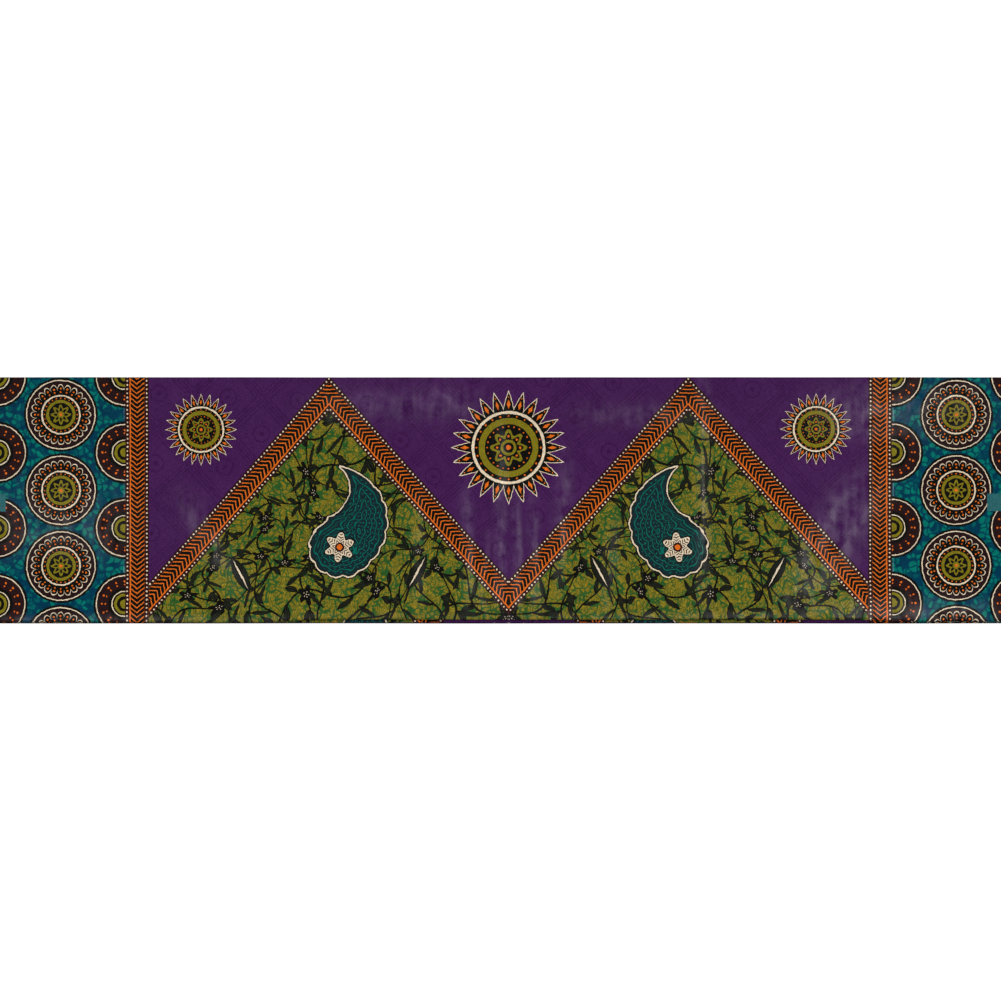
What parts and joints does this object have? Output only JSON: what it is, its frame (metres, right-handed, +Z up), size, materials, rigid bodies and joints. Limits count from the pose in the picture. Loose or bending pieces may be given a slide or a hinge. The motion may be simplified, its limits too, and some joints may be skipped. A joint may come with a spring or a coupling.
{
  "type": "african wax print fabric",
  "caption": "Length of wax-printed cotton folded to and fro over its full width into one flat stack of laps, resting on its lowest lap.",
  "frame": {"origin": "centre of the flat underside, on the surface that the cloth lies on", "axes": "+X across the cloth from selvage to selvage, +Y from the near folds to the cut end on top, +Z up"},
  "size_m": [1.194, 0.2886, 0.0165],
  "materials": {
    "printed_cotton": "plain-weave cotton, wax-printed in purple, olive green, teal, orange and ivory, with the slight glaze of new cloth"
  },
  "bodies": {
    "root": {"top_lap": "printed_cotton", "under_lap": "printed_cotton", "hidden_laps": "printed_cotton", "bottom_lap": "printed_cotton"}
  },
  "joints": []
}
